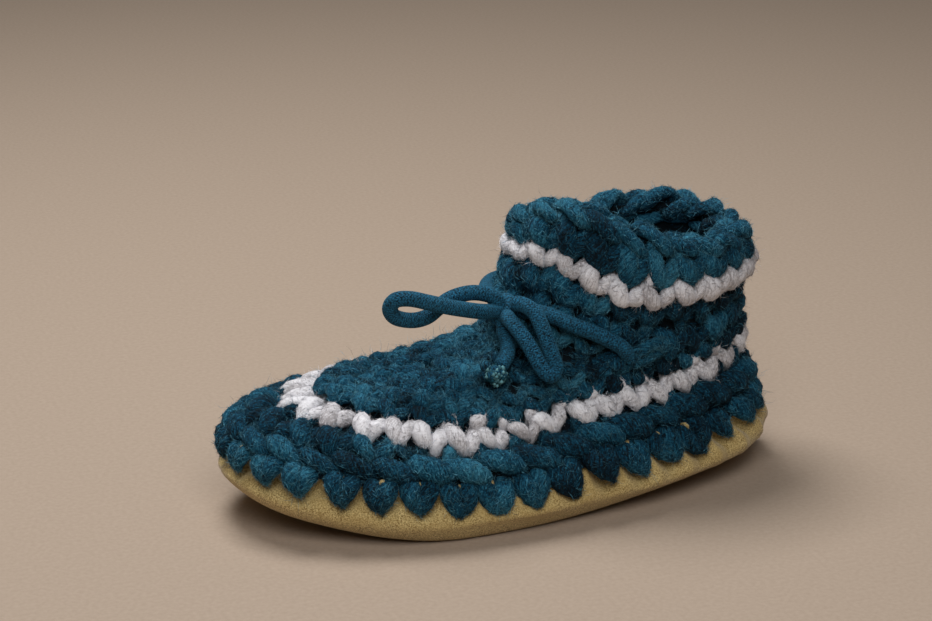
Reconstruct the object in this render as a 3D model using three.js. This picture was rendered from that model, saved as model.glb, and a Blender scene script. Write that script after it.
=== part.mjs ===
// A toddler's bootie slipper: a crocheted wool upper worked onto a turned-up suede sole,
// with a fleece insole and a knitted drawstring tied in a bow at the front of the ankle.
// Millimetres. +X points to the toe, +Y to the side that the bow hangs on, +Z up from the floor.

import * as THREE from 'three';

// Sizes of the slipper
const WALL = 7;
const SUEDE = 2;
const FIT_GAP = 0.3;
const STITCHES = 36;
const COLUMNS = 2 * STITCHES;
const RIM_RISE = 3.2;
const RIM_PROFILE = [[0.22, 0.75], [0.5, 1], [0.78, 0.75]]; // share of the wall, share of the rise
const CROWDED_ROUND = 3; // rounds this low lie flat
const FULL_ROUND = 7; // rounds this high have their full relief
const STITCH_DIP = 0.7; // depth between two stitches of a round, as a share of its grooves

// The soft collar slouches: on the near side it stands higher at the front and lower at the back
const SLOUCH_FRONT = 6.5;
const SLOUCH_BACK = 1;
const SLOUCH_START = 6.5; // level on the upper's rings
const COLLAR_LEVEL = 8;

// The V stitches: how far up the round the gaps between them start,
// and where tips and gaps sit on the suede
const TOOTH_VALLEY = 0.7;
const TIP_DEPTH = 0.6;
const TIP_SUEDE_LEVEL = 4.25;
const VALLEY_SUEDE_LEVEL = 5.55;
const LEDGE_OVERHANG = 0.4; // how far the wall reaches in past the suede, as a share of the suede

// The drawstring
const CORD_DIAMETER = 4.4;
const CORD_LIFT = 0.5; // from the yarn crests
const CORD_SIDES = 8;
const CORD_STEP = 5.3;
const KNOT_RADII = [4.6, 5.0, 5.2];
const KNOT_CENTRE = [3.2, 10.4, 58.3];
const END_KNOT_RADIUS = 3.2;
const KNOT_MERIDIANS = 12;
const KNOT_BANDS = 8;

// Each level of the slipper is an oval ring. Its front half and back half are superellipses.
const TOE_POWER = 2.0;
const HEEL_POWER = 2.2;
const RING_COLUMNS = ['frontX', 'frontZ', 'backX', 'backZ', 'halfWidth', 'sideZ', 'widestX'];

// Rings over the crests of the yarn, from the tips of the first round up to the collar
const UPPER_RINGS = [
  // frontX, frontZ, backX, backZ, halfWidth, sideZ, widestX
  [86.2, 18.2, -86.4, 16.2, 42.5, 9.2, 19.5], // 0 stitch tips
  [86.0, 25.5, -84.0, 22.0, 41.5, 17.6, 18.0], // 1 top of the V stitches
  [76.5, 33.0, -80.5, 31.0, 36.0, 25.8, 16.0], // 2 top of the rope round
  [59.5, 35.5, -79.5, 40.0, 29.5, 33.0, 12.0], // 3 top of the white round
  [36.0, 37.0, -78.5, 45.5, 27.5, 38.0, -8.0], // 4 middle of the instep
  [5.0, 45.0, -77.5, 52.0, 26.0, 47.0, -30.0], // 5 throat
  [1.0, 56.0, -78.0, 59.5, 25.7, 57.0, -35.5], // 6 ankle, where the drawstring lies
  [-3.5, 74.0, -79.5, 67.0, 27.8, 64.5, -42.5], // 7 white ankle round
  [-6.0, 83.0, -77.0, 74.0, 26.8, 75.0, -45.5], // 8 chain edge of the collar
].map(namedRow);

// Rings over the outside of the suede, from the floor up to its hidden rim
const SOLE_RINGS = [
  // frontX, frontZ, backX, backZ, halfWidth, sideZ, widestX
  [50.5, 0.0, -34.0, 0.0, 35.0, 0.0, 19.5], // 0 tread, flat on the floor
  [66.5, 3.4, -58.5, 4.0, 39.0, 0.5, 24.5], // 1 spring of the toe and heel, start of the roll at the sides
  [80.0, 8.0, -84.0, 8.6, 41.8, 4.6, 24.0], // 2 roll
  [87.0, 14.4, -87.2, 11.8, 42.8, 6.8, 19.5], // 3 fullest line
  [85.4, 17.6, -86.0, 15.2, 42.0, 8.9, 19.5], // 4 tuck under the stitch tips
  [81.2, 20.0, -81.8, 18.0, 38.4, 12.2, 19.0], // 5 seam line
  [79.6, 24.2, -80.2, 21.4, 37.0, 17.0, 18.5], // 6 rim
].map(namedRow);

const INSOLE_TOP = namedRow([73.0, 10.0, -74.0, 10.0, 33.0, 8.2, 18.5]);
const INSOLE_EDGE = 0.4; // how far up between the suede's first two rings the pad's edge leaves them

// Rounds of crochet: where each starts and ends on the upper's rings, its stitches,
// how deep its grooves are, and how many rings of the wall it takes
const ROUND_COLUMNS = ['start', 'end', 'stitches', 'relief', 'rings'];
const ROUNDS = [
  // start, end, stitches, relief, rings
  [0.0, 1.0, STITCHES, 1.6, 3], // V stitches through the suede
  [1.0, 2.0, STITCHES, 2.2, 3], // rope round
  [2.0, 3.0, STITCHES, 2.2, 3], // white round
  [3.0, 3.33, STITCHES, 1.4, 2], // instep rows
  [3.33, 3.67, STITCHES, 1.4, 2],
  [3.67, 4.0, STITCHES, 1.4, 2],
  [4.0, 4.25, STITCHES, 1.4, 2],
  [4.25, 4.5, STITCHES, 1.4, 2],
  [4.5, 4.75, STITCHES, 1.4, 2],
  [4.75, 5.1, STITCHES, 1.4, 2],
  [5.1, 6.3, STITCHES / 2, 2.0, 3], // ankle round with the drawstring
  [6.3, 7.3, STITCHES / 2, 2.2, 3], // white ankle round
  [7.3, 7.68, STITCHES / 2, 1.8, 2], // round below the collar
  [7.68, 8.0, STITCHES / 2, 1.8, 2], // chain edge
].map((row) => Object.fromEntries(ROUND_COLUMNS.map((name, i) => [name, row[i]])));

// Levels of the inner face of the wall, from the collar down
const INNER_LEVELS = [8.0, 7.3, 6.6, 6.0, 5.4, 4.9, 4.4, 3.8, 3.2, 2.6, 2.15];

// Where the drawstring lies on the upper: share of the way round from the toe, and level
const RUN_COLUMNS = ['share', 'level'];
const RUN_NEAR = [[0.08, 6.15], [0.105, 6.1], [0.134, 5.9], [0.167, 5.6], [0.2, 5.2], [0.22, 4.95]];
const RUN_FAR = [
  [0.02, 6.15], [0.985, 6.15], [0.95, 6.15], [0.91, 6.1],
  [0.866, 5.9], [0.833, 5.6], [0.8, 5.2], [0.78, 4.95],
];

// Centre lines of the bow's cords, x, y, z, starting at the knot
const TOE_LOOP = [
  [8.8, 13.0, 59.4], [12.4, 14.6, 60.4], [16.9, 15.7, 61.8], [22.7, 16.4, 63.6], [28.9, 16.4, 65.7],
  [34.2, 15.6, 67.2], [38.2, 14.4, 66.9], [39.5, 13.0, 64.0], [37.4, 12.0, 60.8], [32.2, 11.3, 58.8],
  [26.5, 10.6, 58.6], [21.7, 9.8, 59.8], [18.6, 9.2, 62.2], [16.0, 9.2, 64.9], [12.4, 9.6, 65.8],
  [8.6, 10.2, 64.8], [6.2, 10.5, 63.4],
];
const SIDE_LOOP = [
  [2.4, 15.4, 61.8], [0.4, 18.0, 62.2], [-1.8, 21.4, 60.8], [-3.2, 24.4, 57.0], [-4.2, 26.6, 52.6],
  [-5.2, 28.2, 48.6], [-5.8, 29.2, 45.4], [-4.2, 29.8, 43.6], [-2.2, 28.6, 45.0], [-0.5, 26.4, 48.6],
  [1.0, 23.4, 52.4], [2.6, 19.8, 55.4], [3.6, 16.6, 57.2],
];
const NEAR_END = [
  [4.0, 13.0, 52.8], [4.0, 14.8, 51.0], [4.3, 16.8, 49.2], [5.4, 18.8, 47.4], [7.2, 20.4, 46.0],
];
const END_KNOT_CENTRE = [10.0, 22.2, 43.8];

const COLOURS = {
  wool: { color: 0x1d4a5d, roughness: 0.95, metalness: 0 },
  suede: { color: 0xc4b283, roughness: 0.95, metalness: 0 },
  fleece: { color: 0xe8dfcb, roughness: 1, metalness: 0 },
  cord: { color: 0x123c50, roughness: 0.9, metalness: 0 },
};

function namedRow(values) {
  return Object.fromEntries(RING_COLUMNS.map((name, i) => [name, values[i]]));
}

function mixNumbers(a, b, share) {
  return a + (b - a) * share;
}

function mixPoints(a, b, share) {
  return a.map((value, i) => mixNumbers(value, b[i], share));
}

function clamp01(value) {
  return Math.min(1, Math.max(0, value));
}

// The ring at a level between table rows, on a smooth curve through the rows
function ringAt(table, level) {
  const last = table.length - 1;
  const index = Math.min(Math.floor(level), last - 1);
  const u = level - index;
  const rows = [-1, 0, 1, 2].map((step) => table[Math.min(last, Math.max(0, index + step))]);
  const ring = {};
  for (const name of RING_COLUMNS) {
    const [a, b, c, d] = rows.map((row) => row[name]);
    const linear = c - a;
    const square = 2 * a - 5 * b + 4 * c - d;
    const cube = 3 * b - a - 3 * c + d;
    ring[name] = b + 0.5 * u * (linear + u * (square + u * cube));
  }
  return ring;
}

// A point of a ring at an angle from the toe
function ringPoint(ring, angle) {
  const c = Math.cos(angle);
  const s = Math.sin(angle);
  const power = 2 / (c > 0 ? TOE_POWER : HEEL_POWER);
  const reach = c > 0 ? ring.frontX - ring.widestX : ring.widestX - ring.backX;
  const endZ = c > 0 ? ring.frontZ : ring.backZ;
  const x = ring.widestX + reach * Math.sign(c) * Math.abs(c) ** power;
  const y = ring.halfWidth * Math.sign(s) * Math.abs(s) ** power;
  return [x, y, ring.sideZ + (endZ - ring.sideZ) * c * c];
}

// Angles that share out a ring's length evenly, starting at the toe
function evenAngles(ring, count) {
  const fine = 720;
  const lengths = [0];
  let before = ringPoint(ring, 0);
  for (let i = 1; i <= fine; i += 1) {
    const here = ringPoint(ring, (Math.PI * i) / fine);
    lengths.push(lengths[i - 1] + Math.hypot(...here.map((value, k) => value - before[k])));
    before = here;
  }
  const angles = [];
  let cursor = 0;
  for (let j = 0; j <= count / 2; j += 1) {
    const wanted = (lengths[fine] * 2 * j) / count;
    while (cursor < fine - 1 && lengths[cursor + 1] < wanted) cursor += 1;
    const part = (wanted - lengths[cursor]) / (lengths[cursor + 1] - lengths[cursor]);
    angles.push((Math.PI * (cursor + clamp01(part))) / fine);
  }
  for (let j = count / 2 + 1; j < count; j += 1) angles.push(2 * Math.PI - angles[count - j]);
  return angles;
}

// The same rings moved into the slipper by a depth, square to the front, back and side profiles
function insetRings(table, depth) {
  const profiles = [['frontX', 'frontZ', -1], ['backX', 'backZ', 1], ['halfWidth', 'sideZ', -1]];
  return table.map((row, i) => {
    const below = table[Math.max(0, i - 1)];
    const above = table[Math.min(table.length - 1, i + 1)];
    const inner = { ...row };
    for (const [across, up, inward] of profiles) {
      const run = above[across] - below[across];
      const rise = above[up] - below[up];
      const length = Math.hypot(run, rise);
      inner[across] += (inward * depth * rise) / length;
      inner[up] += (-inward * depth * run) / length;
    }
    return inner;
  });
}

const UPPER_INSIDE = insetRings(UPPER_RINGS, WALL);
const SOLE_INSIDE = insetRings(SOLE_RINGS, SUEDE);
SOLE_INSIDE[0] = { ...SOLE_INSIDE[0], frontZ: SUEDE, backZ: SUEDE, sideZ: SUEDE };

// How far the collar's slouch lifts the wall at a level and angle
function slouchAt(level, angle) {
  const reach = Math.cos(angle) > 0 ? SLOUCH_FRONT : SLOUCH_BACK;
  const fade = clamp01((level - SLOUCH_START) / (COLLAR_LEVEL - SLOUCH_START));
  return reach * fade * fade * Math.sin(2 * angle);
}

// One ring of the wall at a level, as a function of column and depth below the yarn crests
function wallRing(level, count = COLUMNS) {
  const outer = ringAt(UPPER_RINGS, level);
  const inner = ringAt(UPPER_INSIDE, level);
  const angles = evenAngles(outer, count);
  return (column, depth) => {
    const angle = angles[column];
    const [x, y, z] = mixPoints(ringPoint(outer, angle), ringPoint(inner, angle), depth / WALL);
    return [x, y, z + slouchAt(level, angle)];
  };
}

// One ring of the suede's outside, moved out by a gap. Levels between rows are straight.
function suedeRing(level, gap) {
  const index = Math.min(Math.floor(level), SOLE_RINGS.length - 2);
  const gapShare = -gap / SUEDE;
  const edges = [index, index + 1].map((row) => {
    const angles = evenAngles(SOLE_RINGS[row], COLUMNS);
    return (column) => mixPoints(
      ringPoint(SOLE_RINGS[row], angles[column]),
      ringPoint(SOLE_INSIDE[row], angles[column]),
      gapShare,
    );
  });
  return (column) => mixPoints(edges[0](column), edges[1](column), level - index);
}

// A closed solid from rings of equal length. The last ring joins the first, or both ends are capped.
function ringSolid(rings, capped) {
  const count = rings[0].length;
  const index = [];
  const bands = capped ? rings.length - 1 : rings.length;
  for (let k = 0; k < bands; k += 1) {
    const low = k * count;
    const high = ((k + 1) % rings.length) * count;
    for (let j = 0; j < count; j += 1) {
      const next = (j + 1) % count;
      index.push(low + j, low + next, high + next, low + j, high + next, high + j);
    }
  }
  if (capped) {
    const top = (rings.length - 1) * count;
    for (let j = 0; j < count / 2; j += 1) {
      const mate = (count - j) % count;
      const nextMate = count - j - 1;
      if (mate !== j) {
        index.push(j, mate, nextMate);
        index.push(top + j, top + nextMate, top + mate);
      }
      if (nextMate !== j + 1) {
        index.push(j, nextMate, j + 1);
        index.push(top + j, top + j + 1, top + nextMate);
      }
    }
  }
  const geometry = new THREE.BufferGeometry();
  geometry.setAttribute('position', new THREE.Float32BufferAttribute(rings.flat(2), 3));
  geometry.setIndex(index);
  return geometry;
}

function columnsOf(ring, count = COLUMNS) {
  return Array.from({ length: count }, (_, column) => ring(column));
}

// Rings of one round of stitches: a groove at its foot, then crests that swell once for each stitch
function roundRings(round) {
  const foot = wallRing(round.start);
  const head = wallRing(round.end);
  const isFirst = round.start === 0;
  const rings = [];
  for (let k = 0; k < round.rings; k += 1) {
    const rise = k / round.rings;
    const level = mixNumbers(round.start, round.end, rise);
    const ring = wallRing(level);
    const points = [];
    for (let column = 0; column < COLUMNS; column += 1) {
      const wave = Math.cos((2 * Math.PI * round.stitches * column) / COLUMNS);
      const height = Math.hypot(...foot(column, 0).map((value, i) => value - head(column, 0)[i]));
      const room = clamp01((height - CROWDED_ROUND) / (FULL_ROUND - CROWDED_ROUND));
      const dip = 0.5 * (1 - wave);
      if (isFirst) {
        const toothLevel = mixNumbers(TOOTH_VALLEY * dip, round.end, rise);
        const depth = k === 0 ? TIP_DEPTH : round.relief * dip;
        points.push(wallRing(toothLevel)(column, depth));
      } else {
        const share = k === 0 ? 1 : STITCH_DIP * dip;
        points.push(ring(column, round.relief * share * room));
      }
    }
    rings.push(points);
  }
  return rings;
}

// The crocheted wall: up its stitched outside, over the collar, down its inside,
// and under the rim of the suede
function makeUpper() {
  const rings = ROUNDS.flatMap(roundRings);
  const collar = wallRing(COLLAR_LEVEL);
  rings.push(columnsOf((column) => collar(column, TIP_DEPTH)));
  for (const [depthShare, riseShare] of RIM_PROFILE) {
    rings.push(columnsOf((column) => {
      const [x, y, z] = collar(column, depthShare * WALL);
      return [x, y, z + riseShare * RIM_RISE];
    }));
  }
  for (const level of INNER_LEVELS) {
    const ring = wallRing(level);
    rings.push(columnsOf((column) => ring(column, WALL)));
  }
  const lastRow = SOLE_RINGS.length - 1;
  const rimAngles = evenAngles(SOLE_RINGS[lastRow], COLUMNS);
  rings.push(columnsOf((column) => {
    const inner = ringPoint(SOLE_INSIDE[lastRow], rimAngles[column]);
    const outer = ringPoint(SOLE_RINGS[lastRow], rimAngles[column]);
    const [x, y] = mixPoints(inner, outer, -LEDGE_OVERHANG);
    return [x, y, Math.max(inner[2], outer[2]) + FIT_GAP];
  }));
  const rim = suedeRing(lastRow, FIT_GAP);
  rings.push(columnsOf((column) => {
    const [x, y, z] = rim(column);
    return [x, y, z + FIT_GAP];
  }));
  for (const share of [0.5, 1]) {
    rings.push(columnsOf((column) => {
      const lowest = column % 2 === 0 ? TIP_SUEDE_LEVEL : VALLEY_SUEDE_LEVEL;
      return suedeRing(mixNumbers(lastRow, lowest, share), FIT_GAP)(column);
    }));
  }
  return ringSolid(rings, false);
}

// The suede tray: outside from the tread up to the rim, then down its inside to the floor of the tray
function makeSole() {
  const rings = [];
  const rows = SOLE_RINGS.map((_, row) => row);
  for (const row of rows) {
    const angles = evenAngles(SOLE_RINGS[row], COLUMNS);
    rings.push(angles.map((angle) => ringPoint(SOLE_RINGS[row], angle)));
  }
  for (const row of rows.reverse()) {
    const angles = evenAngles(SOLE_RINGS[row], COLUMNS);
    rings.push(angles.map((angle) => ringPoint(SOLE_INSIDE[row], angle)));
  }
  return ringSolid(rings, true);
}

// The fleece pad: it fills the floor of the tray with a gap all round
function makeInsole() {
  const bed = insetRings(SOLE_RINGS, SUEDE + FIT_GAP);
  const bedFloor = SUEDE + FIT_GAP;
  bed[0] = { ...bed[0], frontZ: bedFloor, backZ: bedFloor, sideZ: bedFloor };
  const edge = namedRow(RING_COLUMNS.map((name) => mixNumbers(bed[1][name], bed[2][name], INSOLE_EDGE)));
  const rows = [bed[0], bed[1], edge, INSOLE_TOP];
  const rings = rows.map((row) => evenAngles(row, STITCHES).map((angle) => ringPoint(row, angle)));
  return ringSolid(rings, true);
}

function cordSection() {
  const section = new THREE.Shape();
  for (let i = 0; i < CORD_SIDES; i += 1) {
    const angle = (2 * Math.PI * i) / CORD_SIDES;
    const x = 0.5 * CORD_DIAMETER * Math.cos(angle);
    const y = 0.5 * CORD_DIAMETER * Math.sin(angle);
    if (i === 0) section.moveTo(x, y);
    else section.lineTo(x, y);
  }
  section.closePath();
  return section;
}

function makeCord(points) {
  const path = new THREE.CatmullRomCurve3(points.map((point) => new THREE.Vector3(...point)));
  const steps = Math.max(4, Math.round(path.getLength() / CORD_STEP));
  return new THREE.ExtrudeGeometry(cordSection(), { steps, extrudePath: path });
}

// A length of drawstring that lies on the yarn crests, following rows of share and level
function makeRun(rows) {
  const fine = 400;
  const out = -(0.5 * CORD_DIAMETER + CORD_LIFT);
  const points = rows.map((row) => {
    const place = Object.fromEntries(RUN_COLUMNS.map((name, i) => [name, row[i]]));
    return wallRing(place.level, fine)(Math.round(place.share * fine), out);
  });
  return makeCord(points);
}

function makeLump(centre, radii) {
  const lump = new THREE.SphereGeometry(1, KNOT_MERIDIANS, KNOT_BANDS);
  lump.scale(...radii);
  lump.translate(...centre);
  return lump;
}

const part = new THREE.Group();
part.name = 'crocheted_bootie_slipper';

function add(name, geometry, colour) {
  const mesh = new THREE.Mesh(geometry, new THREE.MeshStandardMaterial(colour));
  mesh.name = name;
  part.add(mesh);
  return mesh;
}

const upper = add('upper', makeUpper(), COLOURS.wool);
const sole = add('sole', makeSole(), COLOURS.suede);
add('insole', makeInsole(), COLOURS.fleece);
add('drawstring_run_near', makeRun(RUN_NEAR), COLOURS.cord);
add('drawstring_run_far', makeRun(RUN_FAR), COLOURS.cord);
add('bow_knot', makeLump(KNOT_CENTRE, KNOT_RADII), COLOURS.cord);
add('bow_loop_toe', makeCord(TOE_LOOP), COLOURS.cord);
add('bow_loop_side', makeCord(SIDE_LOOP), COLOURS.cord);
add('bow_end_knotted', makeCord(NEAR_END), COLOURS.cord);
add('bow_end_knot', makeLump(END_KNOT_CENTRE, Array(3).fill(END_KNOT_RADIUS)), COLOURS.cord);

// The origin is at the middle of the slipper's footprint
const footprint = new THREE.Box3().setFromObject(upper).union(new THREE.Box3().setFromObject(sole));
const middle = footprint.getCenter(new THREE.Vector3());
for (const mesh of part.children) mesh.geometry.translate(-middle.x, -middle.y, 0);

export default part;
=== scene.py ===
"""A toddler's crocheted bootie slipper on a turned-up suede sole, with a knitted drawstring tied in a bow.

The tables are in millimetres and the meshes in metres. +X points to the toe, +Y to the side that the
bow hangs on, and +Z up from the floor. A colour is a tuple of the screen's red, green and blue, 0 to 255.
"""
import math

import bpy
import numpy as np
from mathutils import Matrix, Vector


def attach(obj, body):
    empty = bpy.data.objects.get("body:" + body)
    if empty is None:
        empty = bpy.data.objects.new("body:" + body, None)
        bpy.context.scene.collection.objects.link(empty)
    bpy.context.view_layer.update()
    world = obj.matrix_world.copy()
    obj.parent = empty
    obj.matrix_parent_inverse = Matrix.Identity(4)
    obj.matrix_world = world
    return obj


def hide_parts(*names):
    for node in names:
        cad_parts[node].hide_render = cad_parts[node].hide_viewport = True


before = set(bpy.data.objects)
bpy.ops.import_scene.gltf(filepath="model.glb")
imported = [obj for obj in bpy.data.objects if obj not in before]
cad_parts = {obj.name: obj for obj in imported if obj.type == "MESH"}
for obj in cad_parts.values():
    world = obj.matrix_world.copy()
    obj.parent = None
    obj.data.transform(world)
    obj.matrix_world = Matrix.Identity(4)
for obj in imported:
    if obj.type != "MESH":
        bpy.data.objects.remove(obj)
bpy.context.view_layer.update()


# Sole: one piece of soft tan suede, 2 mm thick, cut to an oval and turned up all round into a
# shallow tray. The first round of stitches goes through it and pulls its edge in at every stitch.
MM = 0.001
CENTRE_X = 0.1  # from the tables' origin to the middle of the footprint
TOE_POWER = 2.0  # squareness of the ovals
HEEL_POWER = 2.2
SUEDE = 2.0
STITCHES = 36
TIP_PHASE = -0.3  # place of the first stitch tip, in stitches from the toe
SOLE_COLUMNS = 216
SOLE_RINGS = np.array([
    # front_x, front_z, back_x, back_z, half_width, side_z, widest_x
    [50.5, 0.0, -34.0, 0.0, 35.0, 0.0, 19.5],  # 0 tread
    [66.5, 3.4, -58.5, 4.0, 39.0, 0.5, 24.5],  # 1 spring of the toe and heel, start of the roll at the sides
    [80.0, 8.0, -84.0, 8.6, 41.8, 4.6, 24.0],  # 2 roll
    [87.0, 14.4, -87.2, 11.8, 42.8, 6.8, 19.5],  # 3 fullest line
    [85.4, 17.6, -86.0, 15.2, 42.0, 8.9, 19.5],  # 4 tuck under the stitch tips
    [81.2, 20.0, -81.8, 18.0, 38.4, 12.2, 19.0],  # 5 seam line
    [79.6, 24.2, -80.2, 21.4, 37.0, 17.0, 18.5],  # 6 rim
])
HEIGHTS = [1, 3, 5]  # the columns of a ring that are heights
TIP_DRAW = 1.5  # how far a stitch tip draws the suede in
SWELL = 3.0  # how far the suede swells between the tips, and is gathered there at the heel
HEEL_GATHER = 1.5
UNEVEN = 0.3
SUEDE_DARK = (118, 90, 42)
SUEDE_LIGHT = (228, 206, 146)
SUEDE_CLOUD = (190, 164, 106)
SUEDE_WORN = (166, 136, 78)


def smooth_rows(table, place):
    """A smooth curve through the rows of a table: each value is the cubic through its four nearest rows."""
    last = len(table) - 1
    index = np.clip(np.floor(place).astype(int), 0, last - 1)
    u = (place - index)[..., None]
    a, b, c, d = (table[np.clip(index + step, 0, last)] for step in (-1, 0, 1, 2))
    return b + 0.5 * u * (c - a + u * (2 * a - 5 * b + 4 * c - d + u * (3 * b - a - 3 * c + d)))


def oval(rings, angle):
    """Points of oval rings: superellipses of the angle from the toe, raised by the square of its cosine."""
    front_x, front_z, back_x, back_z, half_width, side_z, widest_x = np.moveaxis(rings, -1, 0)
    c, s = np.cos(angle), np.sin(angle)
    power = np.where(c > 0, 2 / TOE_POWER, 2 / HEEL_POWER)
    reach = np.where(c > 0, front_x - widest_x, widest_x - back_x)
    x = widest_x + reach * np.sign(c) * np.abs(c) ** power
    y = half_width * np.sign(s) * np.abs(s) ** power
    z = side_z + (np.where(c > 0, front_z, back_z) - side_z) * c * c
    return np.stack([x + CENTRE_X, y, z], axis=-1)


def folded(share):
    """A share of the way round counted from the toe on either side: 0 at the toe, a half at the heel."""
    share = share % 1.0
    return np.minimum(share, 1 - share)


def lengths_along(paths):
    """The length along each path up to each of its points."""
    steps = np.linalg.norm(np.diff(paths, axis=-2), axis=-1)
    return np.concatenate([np.zeros_like(steps[..., :1]), np.cumsum(steps, axis=-1)], axis=-1)


def even_angles(rings, shares):
    """Angles at which a share of each ring's length has passed, measured from the toe."""
    fine = np.linspace(0, np.pi, 721)
    lengths = lengths_along(oval(rings[:, None, :], fine))
    angles = np.stack([np.interp(2 * folded(shares) * row[-1], row, fine) for row in lengths])
    return np.where(shares > 0.5, 2 * np.pi - angles, angles)


def ring_points(table, levels, shares):
    """Points of a table's rings at some levels, spaced evenly round them."""
    rings = smooth_rows(table, levels)
    return oval(rings[:, None, :], even_angles(rings, shares))


def drawn_in(ring, parts):
    """Copies of a ring about its middle, each at a part of its size."""
    middle = ring.mean(axis=0)
    return middle + parts[:, None, None] * (ring - middle)


def inset(table, depth):
    """The rings moved inward by a depth, square to the front, back and side profiles."""
    steps = np.arange(len(table))
    slope = table[np.minimum(steps + 1, len(table) - 1)] - table[np.maximum(steps - 1, 0)]
    moved = table.copy()
    for across, up, inward in ((0, 1, -1), (2, 3, 1), (4, 5, -1)):
        run, rise = slope[:, across], slope[:, up]
        length = np.hypot(run, rise)
        moved[:, across] += inward * depth * rise / length
        moved[:, up] -= inward * depth * run / length
    return moved


def unit(vectors):
    """The vectors at length one."""
    return vectors / np.maximum(np.linalg.norm(vectors, axis=-1, keepdims=True), 1e-9)


def grid_normals(points):
    """Unit normals of a grid whose columns go round: across the columns times up the rows."""
    across = np.roll(points, -1, axis=1) - np.roll(points, 1, axis=1)
    return unit(np.cross(across, np.gradient(points, axis=0)))


def bell(values, centre, width):
    """A smooth bump of height one."""
    return np.exp(-(((values - centre) / width) ** 2))


def ramp(values, start, width):
    """Zero up to the start, one beyond the width after it, and straight between."""
    return np.clip((values - start) / width, 0, 1)


def make_mesh(name, points, quads, triangles, corners_at=None, **attributes):
    """A smooth-shaded object from points in millimetres and faces, with attributes of its points."""
    mesh = bpy.data.meshes.new(name)
    corners = np.concatenate([np.ravel(quads), np.ravel(triangles)]).astype(np.int32)
    starts = np.concatenate([4 * np.arange(len(quads)), 4 * len(quads) + 3 * np.arange(len(triangles))])
    mesh.vertices.add(len(points))
    mesh.vertices.foreach_set("co", (points * MM).astype(np.float32).ravel())
    mesh.loops.add(len(corners))
    mesh.loops.foreach_set("vertex_index", corners)
    mesh.polygons.add(len(starts))
    mesh.polygons.foreach_set("loop_start", starts.astype(np.int32))
    mesh.polygons.foreach_set("use_smooth", np.ones(len(starts), dtype=bool))
    for label, values in attributes.items():
        kind, field = ("FLOAT_VECTOR", "vector") if values.ndim == 2 else ("FLOAT", "value")
        layer = mesh.attributes.new(label, kind, "POINT")
        layer.data.foreach_set(field, values.astype(np.float32).ravel())
    if corners_at is not None:
        mesh.uv_layers.new(name="corners").data.foreach_set("uv", corners_at.astype(np.float32).ravel())
    mesh.update()
    piece = bpy.data.objects.new(name, mesh)
    bpy.context.collection.objects.link(piece)
    return piece


def finish_piece(piece, material, slot, *nodes):
    """The piece with its material, on the one body, and the solids that it stands for hidden. Its slot is
    not used.
    """
    piece.data.materials.append(material)
    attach(piece, "root")
    if nodes:
        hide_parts(*nodes)
    return piece


def ring_faces(rows, columns):
    """Quads between rows of points that close on themselves, facing away from across times up."""
    low = (np.arange(rows - 1)[:, None] * columns + np.arange(columns)).ravel()
    turn = np.where(np.arange(low.size) % columns == columns - 1, 1 - columns, 1)
    return np.stack([low, low + turn, low + turn + columns, low + columns], axis=1)


def closed_rows(grid):
    """Points and faces of a grid of rings, with a pole at the middle of its first and last ring."""
    rows, columns, _ = grid.shape
    points = np.concatenate([grid.reshape(-1, 3), grid[[0, -1]].mean(axis=1)])
    here = np.arange(columns)
    after = (here + 1) % columns
    top = (rows - 1) * columns
    start = np.stack([np.full(columns, rows * columns), after, here], axis=1)
    end = np.stack([np.full(columns, rows * columns + 1), top + here, top + after], axis=1)
    return points, ring_faces(rows, columns), np.concatenate([start, end])


def linear(red, green, blue):
    """A colour of the screen as a linear colour."""
    value = np.array([red, green, blue]) / 255
    return (*np.where(value <= 0.04045, value / 12.92, ((value + 0.055) / 1.055) ** 2.4), 1.0)


def put(tree, socket, value):
    """Links a socket to another one, or sets it to a constant."""
    if isinstance(value, bpy.types.NodeSocket):
        tree.links.new(value, socket)
    else:
        socket.default_value = linear(*value) if isinstance(value, tuple) else value


def set_node(tree, node, **values):
    """The node with values put in the sockets of those names. Other values are its settings."""
    for name, value in values.items():
        socket = node.inputs.get(name.replace("_", " "))
        if socket is None:
            setattr(node, name, value)
        else:
            put(tree, socket, value)
    return node


def add_node(tree, kind, **values):
    """A new node, set by name."""
    return set_node(tree, tree.nodes.new(kind), **values)


def math_node(tree, operation, first, second=0.0):
    """The output of a math node on two values or sockets."""
    node = add_node(tree, "ShaderNodeMath", operation=operation)
    put(tree, node.inputs[0], first)
    put(tree, node.inputs[1], second)
    return node.outputs[0]


def total(tree, *weighted):
    """The sum of values, each times its weight."""
    result, *others = [math_node(tree, "MULTIPLY", value, weight) for value, weight in weighted]
    for other in others:
        result = math_node(tree, "ADD", result, other)
    return result


def mix_colours(tree, share, first, second):
    """The output of a colour mix of two colours or sockets."""
    node = add_node(tree, "ShaderNodeMix", data_type="RGBA")
    for index, value in ((0, share), (6, first), (7, second)):
        put(tree, node.inputs[index], value)
    return node.outputs[2]


def new_material(name):
    """A material with its node tree and shader."""
    material = bpy.data.materials.new(name)
    material.use_nodes = True
    return material, material.node_tree, material.node_tree.nodes["Principled BSDF"]


def object_place(tree):
    """The place on the object that a pattern follows."""
    return add_node(tree, "ShaderNodeTexCoord").outputs["Object"]


def noise(tree, vector, scale, detail, roughness=0.55):
    """The value of a noise texture."""
    return add_node(tree, "ShaderNodeTexNoise", Vector=vector, Scale=scale, Detail=detail,
                    Roughness=roughness).outputs["Fac"]


def span(tree, value, low, high, most=1.0):
    """A value moved from the range low to high onto zero to most, and held there."""
    return add_node(tree, "ShaderNodeMapRange", Value=value, From_Min=low, From_Max=high,
                    To_Max=most).outputs["Result"]


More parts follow.
